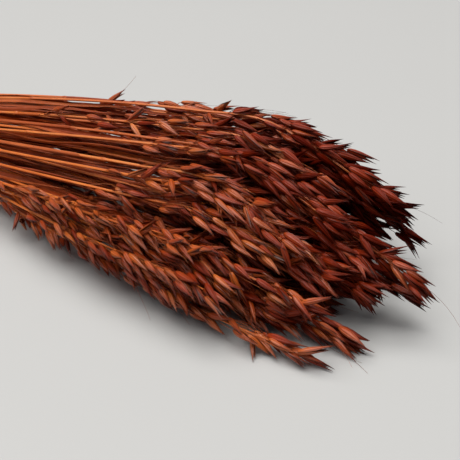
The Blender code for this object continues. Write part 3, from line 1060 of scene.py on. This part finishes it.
def tieShapes(tieRadius, dice):
    radius = tieRadius + bundle["culmRadius"] + bundle["clearance"] + tie["diameter"] / 2
    height = tieFloor() + tieRadius
    start = tie["knotTurn"]
    turns = np.linspace(0, tie["turns"] * 2 * math.pi, tie["turns"] * tie["ringsATurn"])
    drift = (turns / (2 * math.pi) / tie["turns"] - 0.5) * (tieStraight - tie["diameter"])
    across = radius * np.cos(turns + start)
    up = height + radius * np.sin(turns + start)
    wound = np.column_stack([bundle["tieX"] + drift, across, up])
    shapes = twistedTwine(wound, (1, 0, 0), dice)
    # the knot: a hitch over the turns, and two tails
    middle = np.array([bundle["tieX"], radius * math.cos(start), height + radius * math.sin(start)])
    out = np.array([0, math.cos(start), math.sin(start)])
    aside = np.array([0, -math.sin(start), math.cos(start)])
    ahead = np.array([1.0, 0, 0])
    loop = np.linspace(0, 2 * math.pi, tie["knotRings"])
    knotPath = (
        middle
        + ahead * (tie["knotHalfLength"] * np.cos(loop))[:, None]
        + out * (tie["knotLift"] + tie["knotRise"] * np.sin(loop))[:, None]
        + aside * (tie["knotHalfWidth"] * np.sin(2 * loop))[:, None]
    )
    shapes += twistedTwine(knotPath, tie["knotUpward"], dice)
    for sign, length in zip((1, -1), tie["tailLengths"]):
        forward = (0, tie["tailStart"], length * tie["tailBendAt"], length)
        places = [
            middle + out * lift + ahead * sign * run + aside * sign * swing
            for lift, run, swing in zip(tie["tailLift"], forward, tie["tailAside"])
        ]
        shapes += twistedTwine(bezier(places, tie["tailRings"]), tie["tailUpward"], dice)
    return shapes


def showPiece(name, mesh):
    piece = bpy.data.objects.new("dressed_" + name, mesh)
    bpy.context.scene.collection.objects.link(piece)
    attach(piece, "root")
    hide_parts(name)


def spikeletPlaces(stalks, lines, dice):
    # whorl by whorl through all the stalks, so that none is left without room
    crowd = Crowd()
    for stalk, line in zip(stalks, lines):
        along = np.arange(stalk.start, stalk.end, panicle["beadStep"])
        crowd.add(line.at(along), np.array([stalk.radius(x) for x in along]))
    found = {stalk.name: [] for stalk in stalks}
    for stalk, line in zip(stalks, lines):
        root, ahead = line.at(stalk.end)[0], line.heading(stalk.end)[0]
        tip = root + ahead * spikelet["lengths"][1]
        tip[2] = max(tip[2], panicle["tipHeight"])
        crowd.add(*spikeletBeads(root, tip))
        found[stalk.name].append((stalk.end - panicle["lastNode"], root, tip, ahead))
    for share, size in zip(panicle["whorlShares"], panicle["whorlSizes"]):
        for number in range(size):
            for stalk, line in zip(stalks, lines):
                node = stalk.neck + (stalk.end - stalk.neck) * share
                ahead = min(dice.uniform(*panicle["ahead"]), stalk.end - node + panicle["pastEnd"])
                root, tip, outward = placeSpikelet(line, node, ahead, stalk.headAcross, dice, crowd)
                found[stalk.name].append((node, root, tip, outward))
    return found


def stemShapes(stalk, line, dice):
    # painted shade on the stems inside the bundle
    innerShade = culm["innerShadeTone"]
    stemTone = dice.uniform(*culm["tones"]) * (innerShade + (1 - innerShade) * stalk.outermost)
    joints = culmJoints(stalk, dice)
    shapes = [culmShape(stalk, line, joints, stemTone)]
    for x in joints:
        if dice.random() < culm["sheathShare"]:
            end = min(x + dice.uniform(*culm["sheathLength"]), stalk.neck)
            turn = dice.uniform(0, 2 * math.pi)
            tone = dice.uniform(*culm["sheathTones"])
            shapes.append(sheathShape(stalk, line, x, end, turn, tone))
            if dice.random() < leafScrap["share"] and abs(end - bundle["tieX"]) > leafScrap["clearOfTie"]:
                heading = line.heading(end)[0]
                side = unit(np.cross((0, 0, 1), heading))
                outward = side * math.cos(turn) + np.cross(heading, side) * math.sin(turn)
                root = line.at(end)[0] + outward * stalk.radius(end)
                shapes.append(leafScrapShape(root, heading, outward, dice, tone))
    inward = -np.array([0, stalk.headAcross, stalk.headUp])
    for number in range(blade["perStalk"]):
        shapes.append(bladeShape(line, dice.uniform(*blade["start"]), inward, dice))
    return shapes


def huskTone(stalk, node, ownTone, dice):
    # painted shade: darker inside the bundle, and towards the tips of its far side
    tone = dice.gauss(*spikelet["tones"]) + ownTone - spikelet["shadeInside"] * (1 - stalk.outermost**2)
    farShade = max(stalk.headAcross - spikelet["farShadeFrom"], 0)
    start, end = spikelet["farShadeFromX"]
    tone -= spikelet["shadeOnFarSide"] * farShade * smooth((node - start) / (end - start))
    return min(max(tone, spikelet["darkest"]), spikelet["brightest"])


def buildStalks(stalks, lines, husk, stem, shift, dice):
    variants = spikeletVariants(dice)
    places = spikeletPlaces(stalks, lines, dice)
    total = 0
    for stalk, line in zip(stalks, lines):
        ownTone = dice.uniform(*spikelet["stalkTones"])
        parts = [(shape, stem) for shape in stemShapes(stalk, line, dice)]
        for node, root, tip, outward in places[stalk.name]:
            tone = huskTone(stalk, node, ownTone, dice)
            matrix = spikeletMatrix(root, tip, dice.gauss(0, spikelet["roll"]))
            shape = dice.choice(variants).placed(matrix, tone)
            keepAbove(shape.points, floorRoom["husk"])
            parts.append((shape, husk))
            parts.append((branchShape(line, node, root, tip, outward, tone), stem))
            if dice.random() < spikelet["awnShare"]:
                parts.append((awnShape(root, tip, dice, tone * spikelet["awnTone"]), stem))
        mesh = makeMesh(stalk.name, parts, shift)
        showPiece(stalk.name, mesh)
        total += sum(len(polygon.vertices) - 2 for polygon in mesh.polygons)
    print("stalks made:", len(stalks), "with", total, "triangles")


# A plain pale floor and soft light: a broad one above, and a weak one from the near side.
studio = {
    "floorHalf": 9.0,
    "floorColour": (0.50, 0.50, 0.495),
    "floorRoughness": 0.6,
    "mottleScale": 3.0,
    "mottleShade": 0.96,
    "world": (0.92, 0.94, 1.0),
    "worldStrength": 0.12,
    "lights": (
        {"place": (-0.50, -0.32, 4.45), "size": 5.6, "power": 368.0, "colour": (1.0, 0.985, 0.955)},
        {"place": (-1.4, -2.6, 2.4), "size": 1.8, "power": 12.0, "colour": (0.95, 0.97, 1.0)},
    ),
    "lookAt": (0.12, 0.0, 0.03),
}


def buildFloor():
    half = studio["floorHalf"]
    mesh = bpy.data.meshes.new("paleFloor")
    corners = [(-half, -half, 0), (half, -half, 0), (half, half, 0), (-half, half, 0)]
    mesh.from_pydata(corners, [], [(0, 1, 2, 3)])
    look = MaterialNodes("paleFloor")
    mottle = look.noise(look.objectPlaces(), studio["mottleScale"])
    pale = studio["floorColour"]
    shaded = (value * studio["mottleShade"] for value in pale)
    look.feed(look.shader.inputs["Base Color"], look.mixed(mottle, (*pale, 1), (*shaded, 1)))
    look.shader.inputs["Roughness"].default_value = studio["floorRoughness"]
    mesh.materials.append(look.material)
    floor = bpy.data.objects.new("paleFloor", mesh)
    bpy.context.scene.collection.objects.link(floor)


def buildLights():
    world = bpy.data.worlds.new("softRoom")
    world.use_nodes = True
    background = world.node_tree.nodes["Background"]
    background.inputs["Color"].default_value = (*studio["world"], 1)
    background.inputs["Strength"].default_value = studio["worldStrength"]
    bpy.context.scene.world = world
    bpy.context.scene.view_settings.view_transform = "Standard"
    for number, values in enumerate(studio["lights"]):
        light = bpy.data.lights.new(f"softLight{number}", "AREA")
        light.size = values["size"]
        light.energy = values["power"]
        light.color = values["colour"]
        lamp = bpy.data.objects.new(light.name, light)
        lamp.location = values["place"]
        aim = Vector(studio["lookAt"]) - lamp.location
        lamp.rotation_euler = aim.to_track_quat("-Z", "Y").to_euler()
        bpy.context.scene.collection.objects.link(lamp)


# The photograph's view: its left edge cuts the bundle off.
view = {
    "azimuth": math.radians(34.1),
    "elevation": math.radians(31.1),
    "distance": 0.894,
    "lookAt": (0.156, 0.001, 0.024),
    "lens": 100.0,
    "sensor": 36.0,
}


def buildCamera():
    back = Vector(
        (
            math.sin(view["azimuth"]) * math.cos(view["elevation"]),
            -math.cos(view["azimuth"]) * math.cos(view["elevation"]),
            math.sin(view["elevation"]),
        )
    )
    lens = bpy.data.cameras.new("photoView")
    lens.lens = view["lens"]
    lens.sensor_width = view["sensor"]
    camera = bpy.data.objects.new("photoView", lens)
    camera.location = Vector(view["lookAt"]) + back * view["distance"]
    camera.rotation_euler = (-back).to_track_quat("-Z", "Y").to_euler()
    bpy.context.scene.collection.objects.link(camera)
    bpy.context.scene.camera = camera


places, tieRadius = tiePlaces()
layoutDice = random.Random(bundle["seed"])
stalks = [Stalk(n + 1, across, up, layoutDice) for n, (across, up) in enumerate(places)]
stations = sharedStations()
settled = settle(stalks, stations, tieRadius)
lines = [Line(axisPoints(stalk, stations, place)) for stalk, place in zip(stalks, settled)]
tieLow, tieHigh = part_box("twine_tie")
shift = np.array([(tieLow.x + tieHigh.x) / 2 - bundle["tieX"], (tieLow.y + tieHigh.y) / 2, 0])
print("stalks laid out:", len(stalks))

buildCamera()
buildFloor()
buildLights()
print("camera, floor and light set")

dice = random.Random(bundle["detailSeed"])
husk = strawMaterial("dyedHusk", huskFinish)
stem = strawMaterial("dyedStem", stemFinish)
buildStalks(stalks, lines, husk, stem, shift, dice)

twine = twineMaterial()
tieParts = [(shape, twine) for shape in tieShapes(tieRadius, dice)]
showPiece("twine_tie", makeMesh("twine_tie", tieParts, shift))
print("tie made")

bpy.context.view_layer.update()
